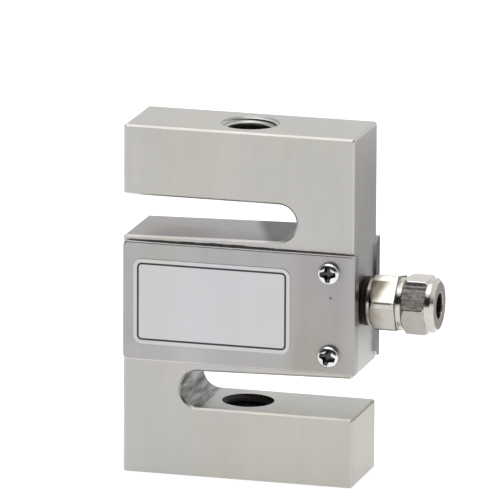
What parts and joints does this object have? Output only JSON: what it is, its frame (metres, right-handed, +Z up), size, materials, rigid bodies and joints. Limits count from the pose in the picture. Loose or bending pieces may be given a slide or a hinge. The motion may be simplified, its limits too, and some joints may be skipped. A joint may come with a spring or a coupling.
{
  "type": "s type load cell",
  "caption": "S-shaped tension and compression load cell: slotted steel block with threaded ends, covers over its sensing bar and a cable gland.",
  "frame": {"origin": "where the axis of the two mounting threads meets the bottom face", "axes": "+Z up along the loading axis, +X out of the cable gland, +Y towards the rear cover"},
  "size_m": [0.0673, 0.0242, 0.0762],
  "materials": {
    "block_steel": "nickel-plated, finely ground",
    "cover_steel": "brushed sheet",
    "gasket_foam": "matt",
    "screw_steel": "bright zinc plated",
    "nameplate_face": "satin with a dark border line",
    "gland_nickel": "nickel-plated brass, bright",
    "seal_rubber": "matt",
    "gauge_foil": "polyimide film",
    "lead_enamel": "enamelled",
    "board_green": "solder mask",
    "resistor_black": "matt"
  },
  "bodies": {
    "root": {"s_body": "block_steel", "front_cover": "cover_steel", "rear_cover": "cover_steel", "front_gasket": "gasket_foam", "rear_gasket": "gasket_foam", "nameplate": "nameplate_face", "gland_body": "gland_nickel", "gland_nut": "gland_nickel", "gland_clamp_ring": "gland_nickel", "gland_o_ring": "seal_rubber", "gland_seal": "seal_rubber", "terminal_board": "board_green", "zero_trim_resistor": "resistor_black", "span_trim_resistor": "resistor_black", "front_cover_screw_upper": "screw_steel", "front_cover_screw_lower": "screw_steel", "rear_cover_screw_upper": "screw_steel", "rear_cover_screw_lower": "screw_steel", "gauge_upper_left": "gauge_foil", "gauge_lead_upper_left": "lead_enamel", "gauge_upper_right": "gauge_foil", "gauge_lead_upper_right": "lead_enamel", "gauge_lower_left": "gauge_foil", "gauge_lead_lower_left": "lead_enamel", "gauge_lower_right": "gauge_foil", "gauge_lead_lower_right": "lead_enamel"}
  },
  "joints": []
}
